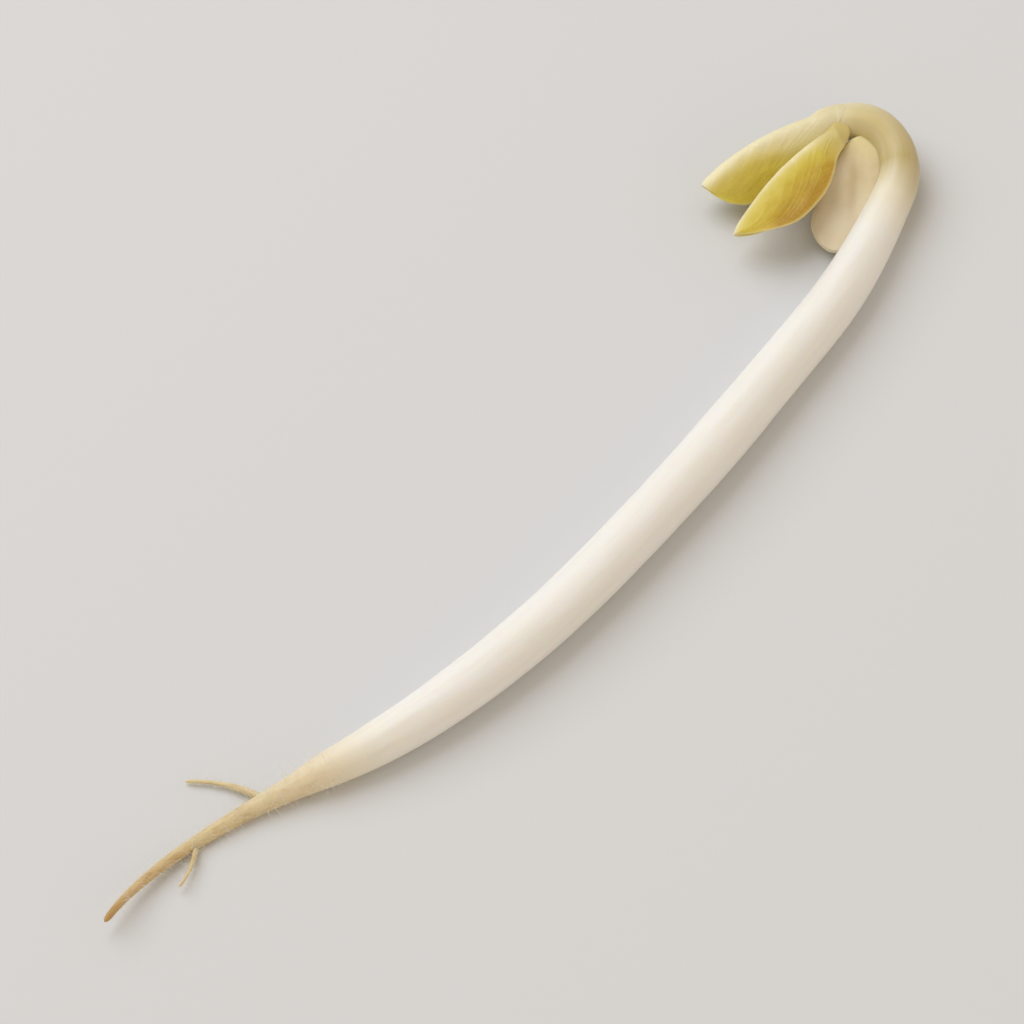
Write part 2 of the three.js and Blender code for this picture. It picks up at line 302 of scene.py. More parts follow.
# The outside of the hook is painted darker grey-tan: painted shade on that side.
outside = add_node(stem_flesh, "MapRange", {0: parts[0], 1: 0.2, 2: -1.2}).outputs[0]
hook = add_node(stem_flesh, "MapRange", {0: parts[2], 1: 54.0, 2: 60.0, 3: 0.0, 4: 0.9}).outputs[0]
hook_end = add_node(stem_flesh, "MapRange", {0: parts[2], 1: 63.0, 2: 60.5}).outputs[0]
hook_shade_side = add_node(stem_flesh, "Math", {0: outside, 1: hook}, operation="MULTIPLY").outputs[0]
painted_hook_shade = add_node(stem_flesh, "Math", {0: hook_shade_side, 1: hook_end}, operation="MULTIPLY").outputs[0]
hook_shaded = add_node(stem_flesh, "Mix", {0: painted_hook_shade, 6: streaked, 7: linear("c4b284")},
                  data_type="RGBA").outputs[2]
# The neck's inside is olive, where its green layer shows through the skin.
inside = add_node(stem_flesh, "MapRange", {0: parts[0], 1: -0.9, 2: 0.3}).outputs[0]
neck = add_node(stem_flesh, "MapRange", {0: parts[2], 1: 58.0, 2: 61.5, 3: 0.0, 4: 0.55}).outputs[0]
neck_end = add_node(stem_flesh, "MapRange", {0: parts[2], 1: 64.6, 2: 63.0}).outputs[0]
inside_neck = add_node(stem_flesh, "Math", {0: inside, 1: neck}, operation="MULTIPLY").outputs[0]
olive = add_node(stem_flesh, "Math", {0: inside_neck, 1: neck_end}, operation="MULTIPLY").outputs[0]
greened = add_node(stem_flesh, "Mix", {0: olive, 6: hook_shaded, 7: linear("cfbb70")},
                   data_type="RGBA").outputs[2]
# The scar of the other seed leaf has healed over in cork, which is brown in patches of 0.2 mm.
scar = add_node(stem_flesh, "Attribute", attribute_name="scar").outputs["Fac"]
cork_place = add_node(stem_flesh, "Mapping", {0: straight, 3: (5.0, 5.0, 3.5)}).outputs[0]
cork = add_node(stem_flesh, "TexNoise", {0: cork_place, 2: 1.0, 3: 3.0, 4: 0.6}).outputs[0]
cork_share = add_node(stem_flesh, "MapRange", {0: cork, 1: 0.35, 2: 0.65, 3: 0.3, 4: 1.0}).outputs[0]
corky = add_node(stem_flesh, "Math", {0: scar, 1: cork_share}, operation="MULTIPLY").outputs[0]
scarred = add_node(stem_flesh, "Mix", {0: corky, 6: greened, 7: linear("a98c58")},
                   data_type="RGBA").outputs[2]
# Files of cells, 0.03 to 0.06 mm wide, run along the skin. They are drawn 0.12 mm wide, so that
# they show.
file_place = add_node(stem_flesh, "Mapping", {0: straight, 3: (8.0, 8.0, 0.6)}).outputs[0]
files = add_node(stem_flesh, "TexNoise", {0: file_place, 2: 1.0, 3: 4.0, 4: 0.6}).outputs[0]
gloss = add_node(stem_flesh, "MapRange", {0: files, 1: 0.3, 2: 0.7, 3: 0.3, 4: 0.42}).outputs[0]
relief = add_node(stem_flesh, "Bump", {
    "Height": files, "Strength": 0.22, "Distance": 0.012 * MM,
}).outputs[0]
# Light goes into the flesh, but not at the two ends, where root and leaves are joined to it.
open_below = add_node(stem_flesh, "MapRange", {0: parts[2], 1: 0.2, 2: 2.5, 3: 0.0, 4: 0.45}).outputs[0]
open_above = add_node(stem_flesh, "MapRange", {0: parts[2], 1: 63.6, 2: 60.5, 3: 0.0, 4: 0.45}).outputs[0]
open_flesh = add_node(stem_flesh, "Math", {0: open_below, 1: open_above}, operation="MINIMUM").outputs[0]
skin = add_node(stem_flesh, "BsdfPrincipled", {
    "Base Color": scarred, "Roughness": gloss, "IOR": 1.38, "Normal": relief,
    "Subsurface Weight": open_flesh, "Subsurface Radius": (1.0, 0.7, 0.42), "Subsurface Scale": 1.2 * MM,
    "Coat Weight": 0.12, "Coat Roughness": 0.25, "Coat IOR": 1.33,
})
add_node(stem_flesh, "OutputMaterial", {"Surface": skin.outputs[0]})

TIP_ROUNDING = 1.1
tip_turn = np.linspace(0, math.pi / 2, 20)[:-1]
stem_at = np.concatenate([
    np.linspace(0, AXIS_END - TIP_ROUNDING, 620)[:-1],
    AXIS_END - TIP_ROUNDING * (1 - np.sin(tip_turn)),
])
at, angle = grid(stem_at, 96)
stem_rings, stem_straight = axis_skin(at, angle, rounded((at - AXIS_END + TIP_ROUNDING) / TIP_ROUNDING))
stem_scar = smoothstep(-scar_distance(at, angle), -1.1, -0.85) * 0.85
stem_values = {"straight": stem_straight, "scar": stem_scar}
make_piece("stem_skin", [(stem_rings, stem_values)], "stem", stem_flesh)

# ---- Root ----
# The radicle: it goes on from the stem's end at the collar, tapers, and has two side rootlets.
# Its skin is thinner and duller than the stem's, browned by air, with a down of root hairs.

ROOTLET_TAPER = 0.6  # the share of its radius that one loses towards its tip
ROOTLET_TIP = 0.08  # and the share of its length in which the tip is rounded
ROOTLETS = [
    {"start": -6.4, "heading": 112, "curl": 40, "pitch": -3, "length": 5.4, "radius": 0.25},
    {"start": -11.6, "heading": -128, "curl": -34, "pitch": 5, "length": 3.6, "radius": 0.19},
]

# Duller than the stem and less clear, with a thin dry skin: rougher, so its highlight is faint.
root_skin = new_material("root_skin")
straight = add_node(root_skin, "Attribute", attribute_name="straight").outputs["Vector"]
parts = add_node(root_skin, "SeparateXYZ", {0: straight}).outputs
along = add_node(root_skin, "MapRange", {0: parts[2], 1: -20.0, 2: 0.0}).outputs[0]
tissue = add_node(root_skin, "ValToRGB", {0: along}, stops=[
    (0.0, "b9955a"), (0.12, "d0b684"), (0.55, "e0cfa4"), (0.85, "ecdfc0"), (1.0, "f6f0df"),
])
# Air browns the skin in patches of about 0.5 mm, and most towards the tail.
brown_place = add_node(root_skin, "Mapping", {0: straight, 3: (2.2, 2.2, 0.8)}).outputs[0]
brown = add_node(root_skin, "TexNoise", {0: brown_place, 2: 1.0, 3: 4.0, 4: 0.6}).outputs[0]
brown_fade = add_node(root_skin, "MapRange", {0: parts[2], 1: -1.5, 2: -8.0, 3: 0.0, 4: 0.7}).outputs[0]
brown_share = add_node(root_skin, "MapRange", {0: brown, 1: 0.48, 2: 0.78, 3: 0.0, 4: brown_fade}).outputs[0]
browned = add_node(root_skin, "Mix", {0: brown_share, 6: tissue.outputs[0], 7: linear("a98a54")},
                   data_type="RGBA").outputs[2]
file_place = add_node(root_skin, "Mapping", {0: straight, 3: (8.0, 8.0, 0.6)}).outputs[0]
files = add_node(root_skin, "TexNoise", {0: file_place, 2: 1.0, 3: 4.0, 4: 0.6}).outputs[0]
gloss = add_node(root_skin, "MapRange", {0: files, 1: 0.3, 2: 0.7, 3: 0.34, 4: 0.5}).outputs[0]
relief = add_node(root_skin, "Bump", {
    "Height": files, "Strength": 0.5, "Distance": 0.014 * MM,
}).outputs[0]
open_flesh = add_node(root_skin, "MapRange", {0: parts[2], 1: -0.2, 2: -2.5, 3: 0.0, 4: 0.3}).outputs[0]
skin = add_node(root_skin, "BsdfPrincipled", {
    "Base Color": browned, "Roughness": gloss, "IOR": 1.38, "Normal": relief,
    "Subsurface Weight": open_flesh, "Subsurface Radius": (1.0, 0.65, 0.35), "Subsurface Scale": 0.8 * MM,
    "Coat Weight": 0.12, "Coat Roughness": 0.25, "Coat IOR": 1.33,
})
add_node(root_skin, "OutputMaterial", {"Surface": skin.outputs[0]})

TAIL = 0.6  # the root's end is rounded over this length
tail_turn = np.linspace(0, math.pi / 2, 12)[1:]
root_at = np.concatenate([
    -ROOT_LENGTH + TAIL * (1 - np.cos(tail_turn)), np.linspace(TAIL - ROOT_LENGTH, 0, 230)[1:],
])
at, angle = grid(root_at, 72)
rings, straight_points = axis_skin(at, angle, rounded((TAIL - at - ROOT_LENGTH) / TAIL))
root_skins = [(rings, {"straight": straight_points})]
# Where hairs grow: the rings of skin between a bare tip and a bare upper end, and their radii.
hair_beds = [(rings[20:-20], through(RADII, at[20:-20]))]
TIP_CROWDING = 1.6  # the rings of a rootlet stand closer together towards its tip
for each in ROOTLETS:
    base = axis(np.array([each["start"]]), 0, 0)[0]
    side_course = walk(
        base, 0, each["length"],
        lambda s: axis_heading(np.array(each["start"])) + each["heading"] + each["curl"] * s / each["length"],
        lambda s: each["pitch"] + 0 * s, 60,
    )
    beside = spine_of(side_course, 0, each["length"])
    share, angle = grid(1 - (1 - np.linspace(0, 1, 90)[:-1]) ** TIP_CROWDING, 28)
    radius = each["radius"] * (1 - ROOTLET_TAPER * share) * rounded((share - 1) / ROOTLET_TIP + 1)
    # It browns towards its tip as the root itself does beyond its start, but more slowly.
    place = np.stack([radius * np.cos(angle), radius * np.sin(angle),
                      each["start"] - 0.6 * share * each["length"]], axis=-1)
    radius = radius * (1 + 0.06 * unevenness(place, (0.4, 0.4, 0.9), 6))
    rings = beside(share * each["length"], radius * np.cos(angle), radius * np.sin(angle))
    rings[..., 2] = np.maximum(rings[..., 2], 0)
    root_skins.append((rings, {"straight": place}))
    hair_beds.append((rings[12:-14], radius[12:-14]))
make_piece("root_flesh", root_skins, "root", root_skin)

# ---- Root hairs ----
# Single cells that grow out of the root's skin. They are about 0.015 mm thick and up to a
# millimetre long, and are made 0.022 mm thick here, so that they show.

# A clear wall round water: pale, with a soft glow where the light comes from behind.
hair_wall = new_material("root_hair")
skin = add_node(hair_wall, "BsdfPrincipled", {
    "Base Color": linear("faf6ea"), "Roughness": 0.45, "IOR": 1.38,
    "Subsurface Weight": 0.3, "Subsurface Radius": (1.0, 0.8, 0.6), "Subsurface Scale": 0.1 * MM,
})
add_node(hair_wall, "OutputMaterial", {"Surface": skin.outputs[0]})

HAIRS = 1100
HAIR_LENGTHS = (0.25, 0.85)
HAIR_RADIUS = 0.011
HAIR_TAPER = 0.7  # the share of its radius that one loses towards its tip
HAIR_ROOTING = 0.02  # how deep it starts in the skin
HAIR_SAG = 0.6
chance = np.random.default_rng(12)
hairs = []
for number in range(HAIRS):
    # Five of six grow on the root itself, and every sixth on one of the rootlets in turn.
    bed, radii = hair_beds[0 if number % 6 else 1 + number // 6 % 2]
    row = chance.integers(1, bed.shape[0] - 1)
    column = chance.integers(bed.shape[1])
    foot = bed[row, column]
    middle = bed[row].mean(axis=0)
    out = foot - middle
    out /= np.linalg.norm(out)
    sag = chance.normal(size=3) * HAIR_SAG
    length = chance.uniform(*HAIR_LENGTHS) * min(1.0, 0.35 + radii[row, 0])
    t = np.linspace(0, 1, 5)[:, None]
    line = foot - out * HAIR_ROOTING + out * t * length + sag * length * t ** 2
    side = np.cross(out, sag)
    side /= np.linalg.norm(side)
    over = np.cross(out, side)
    turn = np.arange(3) * 2 * math.pi / 3
    width = HAIR_RADIUS * (1 - HAIR_TAPER * t)
    ring = np.cos(turn)[None, :, None] * side + np.sin(turn)[None, :, None] * over
    rings = line[:, None, :] + ring * width[:, None, :]
    above_table = rings[..., 2].min() > 0.01
    if above_table:
        hairs.append((rings, {}))
make_piece("root_hairs", hairs, None, hair_wall)

# ---- Leaves ----
# The two first leaves: soft, thin blades still folded along the midrib, as they lay in the
# seed. Each grows out of the neck's skin with a broad base. They are yellow because they grew
# in the dark.

# The base starts at `start` on the axis, `aside` beside it and `lift` above it. `roll` leans the
# fold over, and `open` is the angle of each half from the fold's middle. They, `heading` and
# `pitch` are given for the base and then for the tip. A small `taper` makes a blunt tip.
# `base_width`, and `slimming`, by which the blade narrows towards the base, are given for the
# lower half and then for the upper one. The base thins into the blade over `thick_base`, a share
# of the length. The pale band over the midrib is `keel_band` wide at the base and at the tip,
# `golden_light_and_shade` is how fast the colour deepens away from it, and `inner` is the share
# of the neck's olive in the base. Band and deepening are partly the leaves' own colour and partly
# painted light and shade: the back leaf's wide band and slow deepening are painted light on its
# upturned face, and the front leaf's fast deepening to ochre is painted shade towards its margin.
KEEL = 0.42  # how far from the midrib the fold is rounded
MARGIN_FLARE = 14  # how far the margins turn outwards again
BASE_THICKNESS = 1
BLADE_THICKNESS = 0.36
MARGIN_THICKNESS = 0.2
HALVES = (0.78, 1.08)  # the upper half is wider than the lower one, which it covers
BASE_ROUNDING = 0.2  # the share of the length in which the base's corners are rounded
SPREADING_SHARE = 0.3  # in which it spreads to the blade's own width
SLIMMING_SHARES = (0.2, 0.6)  # between which its slimming ends
TIP_THINNING = 0.1  # and in which the tip gets thin
LEAVES = [
    {
        "name": "leaf_front", "start": 64.2, "aside": 0.78, "lift": 0.5, "length": 11.4,
        "half_width": 3.25, "base_width": (1.2, 2.2), "slimming": (0.8, 1.1), "thick_base": 0.14,
        "heading": (167, 185), "pitch": (12, -16), "roll": (-66, -72), "open": (8, 12),
        "widest": 0.6, "taper": 0.72, "keel_band": (0.6, 0.28), "golden_light_and_shade": 1.12, "inner": 0.85,
        "seed": 21,
    },
    {
        "name": "leaf_back", "start": 63.5, "aside": -0.7, "lift": 0, "length": 11.8,
        "half_width": 3.15, "base_width": (0.9, 0.9), "slimming": (1, 1), "thick_base": 0.12,
        "heading": (148, 165), "pitch": (20, -22), "roll": (-38, -44), "open": (10, 10),
        "widest": 0.73, "taper": 0.4, "keel_band": (3.0, 0.65), "golden_light_and_shade": 0.45, "inner": 0.1,
        "seed": 22,
    },
]


def leaf_outline(t, widest, taper):
    """Half the blade's width at a share t of its length, as a share of the widest."""
    return ((t / widest) ** (widest / (1 - widest)) * ((1 - t) / (1 - widest))) ** taper


def fold_point(distance, opening, width):
    """How far out and how deep a point of the fold lies at a distance from the midrib, and its lean."""
    steps = 40
    out, deep = 0 * distance, 0 * distance
    for i in range(steps):
        q = (i + 0.5) / steps * distance
        lean = opening + (90 - opening) * np.exp(-q / KEEL) + MARGIN_FLARE * (q / width) ** 4
        out = out + np.sin(np.radians(lean)) * distance / steps
        deep = deep + np.cos(np.radians(lean)) * distance / steps
    return out, deep, lean


# Where the side veins leave the midrib, as shares of the blade's length. The first start below it.
VEIN_STARTS = (-0.1, -0.03, 0.04, 0.12, 0.22, 0.33, 0.46, 0.6)
VEIN_RELIEF = 0.022
WAVE_HEIGHT = 0.07  # the margins are wavy
QUILT_HEIGHT = 0.02  # and the blade is puffed up between the veins


def vein_height(t, across, length, width):
    """The midrib and the side veins, 1 on their crests. Side veins leave the midrib at a sharp angle."""
    q = abs(across) * width
    midrib = np.exp(-(q / 0.2) ** 2) * (1 - 0.7 * t)
    rise = 0.5 * (-np.log(1 - 0.9 * abs(across))) ** 1.1
    side_veins = 0 * t
    for k, start in enumerate(VEIN_STARTS):
        gap = (t - rise - start - 0.012 * (k % 2) * np.sign(across)) * length * 0.26
        side_veins = np.maximum(side_veins, np.exp(-(gap / 0.075) ** 2) * (0.75 - 0.05 * k))
    side_veins = side_veins * smoothstep(q, 0.1, 0.35) * (1 - 0.6 * smoothstep(abs(across), 0.75, 1))
    return np.maximum(midrib, side_veins)


EMBEDDED = 0.06  # how deep the edge of a leaf's base sits in the neck's skin


def clasp(points, outside, along):
    """Draws a leaf's base out over the rounded end of the neck, so that it grows out of its skin.

    A point stays at least `least` above the skin, and at most `most`, which grows along the leaf.
    """
    neck_at = np.linspace(59, AXIS_END - TIP_ROUNDING, 150)
    neck = axis(neck_at, 0, 0)
    flat = points.reshape(-1, 3)
    gaps = np.linalg.norm(flat[:, None, :] - neck[None], axis=-1) - through(RADII, neck_at)
    nearest = gaps.argmin(axis=1)
    gap = gaps[np.arange(len(flat)), nearest]
    out = flat - neck[nearest]
    out /= np.linalg.norm(out, axis=-1, keepdims=True)
    least = np.where(outside, 0.12 * smoothstep(along, 0.2, 1.2) - EMBEDDED, -1.5 * EMBEDDED).ravel()
    most = (1.1 * along ** 2 - EMBEDDED).ravel()
    blend = (0.02 + 0.9 * smoothstep(along, 0.3, 2.0)).ravel()
    wanted = np.maximum(gap, least) + np.maximum(blend - abs(gap - least), 0) ** 2 / (4 * blend)
    wanted = np.minimum(wanted, most)
    return (flat + out * (wanted - gap)[:, None]).reshape(points.shape)


# Young leaf tissue: thin and waxy, pale over the midrib where it is thickest, golden between
# the veins and deeper towards the margins. Part of the paleness and the depth is painted light and
# shade: paler on the back leaf's upturned face, deeper ochre towards the front leaf's lower margin.
# Its wax gives a satin highlight, not a wet one.
leaf_tissue = new_material("leaf_tissue")
blade = add_node(leaf_tissue, "Attribute", attribute_name="blade").outputs["Vector"]
parts = add_node(leaf_tissue, "SeparateXYZ", {0: blade}).outputs
vein = add_node(leaf_tissue, "Attribute", attribute_name="vein").outputs["Fac"]
from_midrib = add_node(leaf_tissue, "Attribute", attribute_name="golden_light_and_shade").outputs["Fac"]
# Blotches of 1 to 2 mm shift the colours a little towards the midrib or away from it.
blotch_place = add_node(leaf_tissue, "Mapping", {0: blade, 3: (0.9, 0.5, 0.0)}).outputs[0]
blotch = add_node(leaf_tissue, "TexNoise", {0: blotch_place, 2: 1.0, 3: 3.0}).outputs[0]
shifted = add_node(leaf_tissue, "MapRange", {0: blotch, 1: 0.2, 2: 0.8, 3: -0.5, 4: 0.5}).outputs[0]
across = add_node(leaf_tissue, "Math", {0: from_midrib, 1: shifted}, operation="ADD").outputs[0]
across_share = add_node(leaf_tissue, "MapRange", {0: across, 1: 0.0, 2: 3.4}).outputs[0]
# Gold deepening to ochre away from the midrib: the ochre end is partly painted shade.
tissue = add_node(leaf_tissue, "ValToRGB", {0: across_share}, stops=[
    (0.0, "dccb66"), (0.28, "dac84a"), (0.58, "cdb132"), (0.86, "b58e1e"),
])
# The pale band over the midrib: the front leaf's own pale keel, and on the back leaf, whose band is much
# wider, partly painted light.
pale = add_node(leaf_tissue, "Attribute", attribute_name="pale").outputs["Fac"]
paled = add_node(leaf_tissue, "Mix", {0: pale, 6: tissue.outputs[0], 7: linear("f6eecb")},
                 data_type="RGBA").outputs[2]
vein_share = add_node(leaf_tissue, "MapRange", {0: vein, 1: 0.15, 2: 1.0, 3: 0.0, 4: 0.4}).outputs[0]
veined = add_node(leaf_tissue, "Mix", {0: vein_share, 6: paled, 7: linear("e4d184")},
                  data_type="RGBA").outputs[2]
# The margin is thin, and paler over its last 0.2 mm.
rim_share = add_node(leaf_tissue, "MapRange", {0: parts[2], 1: 0.05, 2: 0.22, 3: 0.6, 4: 0.0}).outputs[0]
rimmed = add_node(leaf_tissue, "Mix", {0: rim_share, 6: veined, 7: linear("e6d79b")},
                  data_type="RGBA").outputs[2]
# The network of the smallest veins, with meshes of about 0.25 mm.
mesh_place = add_node(leaf_tissue, "Mapping", {0: blade, 3: (4.0, 2.6, 0.0)}).outputs[0]
meshes = add_node(leaf_tissue, "TexVoronoi", {"Vector": mesh_place, "Scale": 1.0},
                  feature="DISTANCE_TO_EDGE").outputs["Distance"]
net = add_node(leaf_tissue, "MapRange", {0: meshes, 1: 0.0, 2: 0.16, 3: 1.0, 4: 0.0}).outputs[0]
net_share = add_node(leaf_tissue, "Math", {0: net, 1: 0.1}, operation="MULTIPLY").outputs[0]
netted = add_node(leaf_tissue, "Mix", {0: net_share, 6: rimmed, 7: linear("e9d994")},
                  data_type="RGBA").outputs[2]
# The base is still neck skin, pale on the neck's outside and olive on its inside.
young = add_node(leaf_tissue, "MapRange", {0: parts[1], 1: 1.0, 2: 3.2, 3: 1.0, 4: 0.0}).outputs[0]
inner = add_node(leaf_tissue, "Attribute", attribute_name="inner").outputs["Fac"]
neck_skin = add_node(leaf_tissue, "Mix", {0: inner, 6: linear("e6dcb4"), 7: linear("d2be70")},
                     data_type="RGBA").outputs[2]
based = add_node(leaf_tissue, "Mix", {0: young, 6: netted, 7: neck_skin}, data_type="RGBA").outputs[2]
gloss = add_node(leaf_tissue, "MapRange", {0: blotch, 1: 0.3, 2: 0.7, 3: 0.38, 4: 0.52}).outputs[0]
# Light goes into the blade, but not into the base, which covers the neck.
open_tissue = add_node(leaf_tissue, "MapRange", {0: parts[1], 1: 1.0, 2: 3.5, 3: 0.0, 4: 0.3}).outputs[0]
relief = add_node(leaf_tissue, "Bump", {"Height": net, "Strength": 0.4, "Distance": 0.012 * MM}).outputs[0]
skin = add_node(leaf_tissue, "BsdfPrincipled", {
    "Base Color": based, "Roughness": gloss, "IOR": 1.42, "Normal": relief,
    "Subsurface Weight": open_tissue, "Subsurface Radius": (1.0, 0.8, 0.25), "Subsurface Scale": 0.5 * MM,
    "Coat Weight": 0.08, "Coat Roughness": 0.3,
})
add_node(leaf_tissue, "OutputMaterial", {"Surface": skin.outputs[0]})

LEAF_TIP_CROWDING = 1.4  # the rings of a leaf stand closer together towards its tip


def along_pair(pair, share):
    """The value at a share of the way from the first of a pair to the second."""
    return pair[0] + (pair[1] - pair[0]) * share


for each in LEAVES:
    length = each["length"]
    base = axis(np.array([each["start"]]), each["aside"], each["lift"])[0]
    midrib_course = walk(base, 0, length, lambda s: along_pair(each["heading"], s / length),
                         lambda s: along_pair(each["pitch"], s / length), 160)
    midrib = spine_of(midrib_course, 0, length, lambda s: along_pair(each["roll"], s / length))
    # A ring goes round the blade's section, out over one half and back. `across` is -1 at the
    # lower margin, 0 at the midrib and 1 at the upper margin.
    t, angle = grid(1 - (1 - np.linspace(0, 1, 212)[1:-1]) ** LEAF_TIP_CROWDING, 216)
    across = 1 - 2 * abs(angle) / math.pi
    side = np.where(across < 0, -1, 1)
    face = np.sign(angle) * (abs(np.sin(angle)) > 1e-9)
    thick_base = 1 - smoothstep(t, 0, each["thick_base"])
    spread = smoothstep(t, 0, SPREADING_SHARE)
    slimming = along_pair((np.where(across < 0, *each["slimming"]), 1), smoothstep(t, *SLIMMING_SHARES))
    half_width = each["half_width"] * np.where(across < 0, *HALVES) * slimming
    blade_width = half_width * leaf_outline(t, each["widest"], each["taper"]) * spread
    base_width = np.where(across < 0, *each["base_width"]) * (1 - spread)
    width = (blade_width + base_width) * rounded(1 - t / BASE_ROUNDING)
    thin = along_pair((BLADE_THICKNESS, MARGIN_THICKNESS), smoothstep(abs(across), 0.3, 0.9))
    thick = along_pair((thin, BASE_THICKNESS), thick_base) / 2 * rounded((t - 1) / TIP_THINNING + 1)
    out, deep, lean = fold_point(abs(across) * width, along_pair(each["open"], t), np.maximum(width, 1))
    blade_place = np.stack([across * width, t * length, (1 - abs(across)) * width], axis=-1)
    flat_place = blade_place * (1, 1, 0)
    vein = vein_height(t, across, length, width) * (1 - thick_base)
    band = along_pair(each["keel_band"], smoothstep(t, 0.1, 0.75))
    wave = WAVE_HEIGHT * unevenness(flat_place, (1.6, 1.5, 1), each["seed"]) * smoothstep(abs(across), 0.5, 1)
    quilt = QUILT_HEIGHT * unevenness(flat_place, (0.45, 0.6, 1), each["seed"] + 5) * (1 - vein)
    relief_height = (wave + quilt + VEIN_RELIEF * vein * (face > 0)) * (1 - thick_base)
    normal = thick * rounded(abs(across) ** 3) * face + relief_height
    rings = midrib(
        t * length,
        side * (out + normal * np.cos(np.radians(lean))),
        -deep + normal * np.sin(np.radians(lean)),
    )
    rings = clasp(rings, face > 0, t * length)
    rings[..., 2] = np.maximum(rings[..., 2], 0.02)
    blade_values = {
        "blade": blade_place, "vein": vein, "pale": np.exp(-(across * width / band) ** 2),
        "golden_light_and_shade": abs(across) * width * each["golden_light_and_shade"], "inner": each["inner"] + 0 * t,
    }
    make_piece(each["name"] + "_blade", [(rings, blade_values)], each["name"], leaf_tissue)

# ---- Seed leaf ----
# One of the two fleshy halves of the bean. The sprout has fed on it, so it has shrunk to
# a soft, wrinkled tongue that hangs from the neck, inside the hook.

# It grows from `base_size` to its full size over a share of its length, and its two ends are
# rounded over such shares too.
SEED_LEAF = {
    "start": 62, "aside": 1.05, "length": 8.8, "half_width": 2, "half_thickness": 0.6,
    "heading": (206, 190), "pitch": (-18, -2), "roll": (12, 2),
    "base_size": 0.6, "base_share": 0.5, "base_rounding": 0.15, "tip_rounding": 0.28,
}
FLATTENING = 0.5  # how much flatter the upper face is along its middle
WRINKLE_SHARE = 0.07  # how far a wrinkle changes the thickness

# Emptied seed flesh: starchy and dull, cream to tan, with painted shade browning the folds of its wrinkles.
seed_flesh = new_material("seed_flesh")
tongue = add_node(seed_flesh, "Attribute", attribute_name="tongue").outputs["Vector"]
wrinkle = add_node(seed_flesh, "Attribute", attribute_name="wrinkle").outputs["Fac"]
# Clouds of 1 to 2 mm, where more or less starch is left.
cloud_place = add_node(seed_flesh, "Mapping", {0: tongue, 3: (0.8, 0.8, 0.5)}).outputs[0]
cloud = add_node(seed_flesh, "TexNoise", {0: cloud_place, 2: 1.0, 3: 4.0}).outputs[0]
tissue = add_node(seed_flesh, "ValToRGB", {0: cloud}, stops=[
    (0.25, "dcca9d"), (0.45, "e6d6b0"), (0.62, "ecdfbc"), (0.8, "e4d29c"),
])
# Painted shade: the folds of the wrinkles are darker and browner.
crease_shade_share = add_node(seed_flesh, "MapRange", {0: wrinkle, 1: 0.1, 2: -0.9, 3: 0.0, 4: 0.5}).outputs[0]
crease_shaded = add_node(seed_flesh, "Mix", {0: crease_shade_share, 6: tissue.outputs[0], 7: linear("bfa470")},
                  data_type="RGBA").outputs[2]
parts = add_node(seed_flesh, "SeparateXYZ", {0: tongue}).outputs
# The left rim is painted pale: painted light, which also lifts the shade that the front leaf casts on it. The
# tip, which the sprout has drained the most, is dry and pale.
rim = add_node(seed_flesh, "MapRange", {0: parts[0], 1: -0.4, 2: -1.7, 3: 0.0, 4: 1.0}).outputs[0]
tip = add_node(seed_flesh, "MapRange", {0: parts[2], 1: 3.0, 2: 6.5, 3: 0.0, 4: 0.5}).outputs[0]
rim_light_and_tip_share = add_node(seed_flesh, "Math", {0: rim, 1: tip}, operation="MAXIMUM").outputs[0]
rim_lit_tip_drained = add_node(seed_flesh, "Mix", {0: rim_light_and_tip_share, 6: crease_shaded, 7: linear("faeed6")},
                   data_type="RGBA").outputs[2]
# Where it hangs from the neck it is still fresh and yellow.
fresh = add_node(seed_flesh, "MapRange", {0: parts[2], 1: 0.3, 2: 2.2, 3: 0.95, 4: 0.0}).outputs[0]
freshened = add_node(seed_flesh, "Mix", {0: fresh, 6: rim_lit_tip_drained, 7: linear("f8eab4")},
                     data_type="RGBA").outputs[2]
# Its skin has a grain of about 0.15 mm, from the cells under it.
grain_place = add_node(seed_flesh, "Mapping", {0: tongue, 3: (7.0, 7.0, 5.0)}).outputs[0]
grain = add_node(seed_flesh, "TexNoise", {0: grain_place, 2: 1.0, 3: 4.0}).outputs[0]
gloss = add_node(seed_flesh, "MapRange", {0: grain, 1: 0.3, 2: 0.7, 3: 0.42, 4: 0.58}).outputs[0]
relief = add_node(seed_flesh, "Bump", {"Height": grain, "Strength": 0.5, "Distance": 0.02 * MM}).outputs[0]
skin = add_node(seed_flesh, "BsdfPrincipled", {
    "Base Color": freshened, "Roughness": gloss, "IOR": 1.42, "Normal": relief,
    "Subsurface Weight": 0.3, "Subsurface Radius": (1.0, 0.7, 0.35), "Subsurface Scale": 0.7 * MM,
})
add_node(seed_flesh, "OutputMaterial", {"Surface": skin.outputs[0]})

length = SEED_LEAF["length"]
base = axis(np.array([SEED_LEAF["start"]]), SEED_LEAF["aside"], 0)[0]
tongue_course = walk(base, 0, length, lambda s: along_pair(SEED_LEAF["heading"], s / length),
                     lambda s: along_pair(SEED_LEAF["pitch"], s / length), 160)
beside = spine_of(tongue_course, 0, length, lambda s: along_pair(SEED_LEAF["roll"], s / length))
t, angle = grid(1 - (1 - np.linspace(0, 1, 172)[1:-1]) ** LEAF_TIP_CROWDING, 120)
plump = along_pair((SEED_LEAF["base_size"], 1), smoothstep(t, 0, SEED_LEAF["base_share"]))
plump = plump * rounded((t - 1) / SEED_LEAF["tip_rounding"] + 1) * rounded(1 - t / SEED_LEAF["base_rounding"])
wide = SEED_LEAF["half_width"] * plump * np.cos(angle)
high = SEED_LEAF["half_thickness"] * np.sqrt(plump) * np.sin(angle)
high = high * (1 - FLATTENING * np.sin(angle) ** 2 * (angle > 0))
